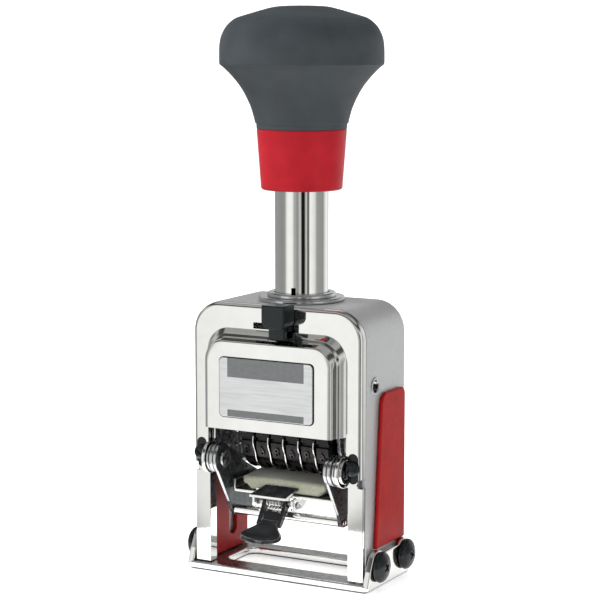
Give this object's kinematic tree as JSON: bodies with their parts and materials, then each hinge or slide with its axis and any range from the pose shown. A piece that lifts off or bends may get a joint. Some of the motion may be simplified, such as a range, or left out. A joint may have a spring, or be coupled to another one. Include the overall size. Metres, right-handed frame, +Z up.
{
  "type": "numbering machine",
  "caption": "Hand numbering machine: a spring-loaded plunger drives inked number wheels down through a chrome sheet-metal frame as the ink pad swings clear.",
  "frame": {"origin": "on the surface that the base rests on, under the plunger's axis, which is the middle of the bounding box's underside", "axes": "+Z up along the plunger, +X to the machine's right as seen from its front, +Y to its back"},
  "size_m": [0.0684, 0.0496, 0.1726],
  "materials": {
    "grip_rubber": "matte moulded rubber, dark grey",
    "red_plastic": "satin red moulded plastic",
    "silver_paint": "silver-grey satin paint on sheet steel",
    "chrome": "polished chrome plate",
    "detent_steel": "bright spring steel",
    "satin_steel": "satin turned steel",
    "black_screws": "black oxide steel",
    "plate_aluminium": "satin aluminium with grey printed bands, no text",
    "black_wheels": "blackened steel with raised figures",
    "black_levers": "semi-gloss black enamel",
    "gunmetal": "gunmetal plate, worn bright at the edges",
    "pad_felt": "dry beige felt"
  },
  "bodies": {
    "frame": {"base_frame": "chrome", "body_shell": "silver_paint", "dial_plate": "plate_aluminium", "front_cover": "chrome", "front_left_base_screw": "black_screws", "front_right_base_screw": "black_screws", "left_cover_screw": "black_screws", "left_guide_rod": "satin_steel", "left_leg": "chrome", "left_pivot_ear": "chrome", "left_pivot_screw": "satin_steel", "left_return_spring": "satin_steel", "left_side_cover": "red_plastic", "left_side_liner": "red_plastic", "left_spring_seat": "satin_steel", "name_plate": "plate_aluminium", "neck_bush": "satin_steel", "rear_cover": "chrome", "rear_left_base_screw": "black_screws", "rear_right_base_screw": "black_screws", "right_cover_screw": "black_screws", "right_guide_rod": "satin_steel", "right_leg": "chrome", "right_pivot_ear": "chrome", "right_pivot_screw": "satin_steel", "right_return_spring": "satin_steel", "right_side_cover": "red_plastic", "right_side_liner": "red_plastic", "right_spring_seat": "satin_steel", "top_washer": "satin_steel"},
    "stop": {"stop_slider": "black_levers", "stop_plate": "chrome"},
    "selector": {"selector_lever": "black_levers"},
    "plunger": {"handle_grip": "grip_rubber", "grip_collar": "red_plastic", "plunger_tube": "chrome", "tube_yoke": "satin_steel", "left_carriage_plate": "satin_steel", "right_carriage_plate": "satin_steel", "wheel_axle": "satin_steel", "detent_comb": "detent_steel", "pawl_shaft": "satin_steel"},
    "pawl": {"feed_pawl": "gunmetal"},
    "ink_arm": {"left_ink_arm": "gunmetal", "right_ink_arm": "gunmetal", "arm_rod": "chrome", "ink_tray": "chrome", "ink_pad": "pad_felt", "lever_bracket": "chrome", "lever_pin": "satin_steel", "torsion_spring": "satin_steel"},
    "pad_lever": {"pad_lever": "black_levers"},
    "number_wheel_1": {"number_wheel_1": "black_wheels"},
    "number_wheel_2": {"number_wheel_2": "black_wheels"},
    "number_wheel_3": {"number_wheel_3": "black_wheels"},
    "number_wheel_4": {"number_wheel_4": "black_wheels"},
    "number_wheel_5": {"number_wheel_5": "black_wheels"},
    "number_wheel_6": {"number_wheel_6": "black_wheels"}
  },
  "joints": [
    {"name": "plunger_slide", "type": "slide", "parent": "frame", "child": "plunger", "axis": [0, 0, -1], "range_m": [0, 0.0304], "stiffness_N_per_m": 400, "springref_m": -0.02, "deforming": ["left_return_spring", "right_return_spring"]},
    {"name": "arm_swing", "type": "hinge", "parent": "frame", "child": "ink_arm", "pos_m": [0, -0.0164, 0.036], "axis": [-1, 0, 0], "range_deg": [0, 115.2]},
    {"name": "pawl_swing", "type": "hinge", "parent": "plunger", "child": "pawl", "pos_m": [0, 0.0065, 0.057], "axis": [1, 0, 0], "range_deg": [0, 12.3]},
    {"name": "stop_slide", "type": "slide", "parent": "frame", "child": "stop", "axis": [-1, 0, 0], "range_m": [0, 0.007]},
    {"name": "selector_turn", "type": "hinge", "parent": "frame", "child": "selector", "pos_m": [0, 0.013, 0.062], "axis": [0, 1, 0], "range_deg": [-135, 135]},
    {"name": "pad_lever_swing", "type": "hinge", "parent": "ink_arm", "child": "pad_lever", "pos_m": [-0.003, -0.0106, 0.0226], "axis": [1, 0, 0], "range_deg": [0, 15], "stiffness_Nm_per_rad": 0.02, "springref_deg": -11.46},
    {"name": "wheel_1_turn", "type": "hinge", "parent": "plunger", "child": "number_wheel_1", "pos_m": [-0.013, -0.0008, 0.0417], "axis": [1, 0, 0], "continuous": true},
    {"name": "wheel_2_turn", "type": "hinge", "parent": "plunger", "child": "number_wheel_2", "pos_m": [-0.0078, -0.0008, 0.0417], "axis": [1, 0, 0], "continuous": true},
    {"name": "wheel_3_turn", "type": "hinge", "parent": "plunger", "child": "number_wheel_3", "pos_m": [-0.0026, -0.0008, 0.0417], "axis": [1, 0, 0], "continuous": true},
    {"name": "wheel_4_turn", "type": "hinge", "parent": "plunger", "child": "number_wheel_4", "pos_m": [0.0026, -0.0008, 0.0417], "axis": [1, 0, 0], "continuous": true},
    {"name": "wheel_5_turn", "type": "hinge", "parent": "plunger", "child": "number_wheel_5", "pos_m": [0.0078, -0.0008, 0.0417], "axis": [1, 0, 0], "continuous": true},
    {"name": "wheel_6_turn", "type": "hinge", "parent": "plunger", "child": "number_wheel_6", "pos_m": [0.013, -0.0008, 0.0417], "axis": [1, 0, 0], "continuous": true}
  ],
  "couplings": [
    {"joint": "arm_swing", "follows": "plunger_slide", "rad_per_m": 66},
    {"joint": "pawl_swing", "follows": "plunger_slide", "rad_per_m": 7}
  ]
}
